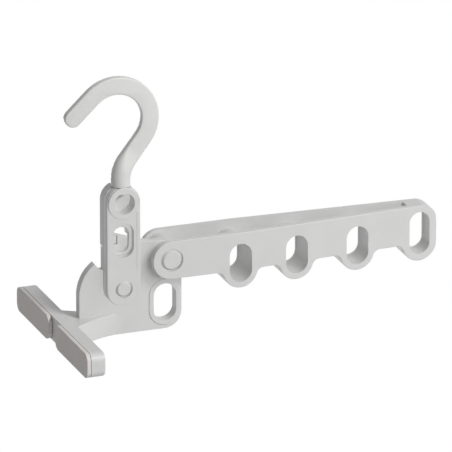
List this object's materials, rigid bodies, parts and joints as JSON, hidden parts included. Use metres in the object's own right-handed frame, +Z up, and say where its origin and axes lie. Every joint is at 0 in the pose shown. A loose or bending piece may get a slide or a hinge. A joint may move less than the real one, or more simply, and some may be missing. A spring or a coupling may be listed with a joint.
{
  "type": "folding hanger hook",
  "caption": "Wall-leaning laundry hanger: a swivelling hook on a swinging link, a padded wall bar, and a folding arm with oblong holes for clothes hangers.",
  "frame": {"origin": "middle of the wall bar, in the plane of the wall that the two pads touch", "axes": "+X from the wall into the room along the arm, +Y along the wall bar away from the axle heads, +Z up"},
  "size_m": [0.2255, 0.1176, 0.153],
  "materials": {
    "shell_white": "fine satin moulding",
    "hook_white": "fine satin moulding",
    "pad_grey": "matt soft plastic"
  },
  "bodies": {
    "bracket_group": {"base_bracket": "shell_white", "wall_pad_front": "pad_grey", "wall_pad_rear": "pad_grey"},
    "link_group": {"link_front_shell": "shell_white", "link_back_shell": "shell_white", "link_axle": "shell_white", "link_axle_cap": "shell_white"},
    "hook_group": {"hook": "hook_white"},
    "arm_group": {"arm": "shell_white", "arm_axle": "shell_white", "arm_axle_cap": "shell_white"}
  },
  "joints": [
    {"name": "link_swing", "type": "hinge", "parent": "bracket_group", "child": "link_group", "pos_m": [0.0387, 0, 0.02355], "axis": [0, -1, 0], "range_deg": [0, 90]},
    {"name": "hook_swivel", "type": "hinge", "parent": "link_group", "child": "hook_group", "pos_m": [0.0387, -0.0051, 0.08245], "axis": [0, 0, 1], "continuous": true},
    {"name": "arm_fold", "type": "hinge", "parent": "bracket_group", "child": "arm_group", "pos_m": [0.0663, 0, 0.03765], "axis": [0, -1, 0], "range_deg": [0, 78]}
  ]
}
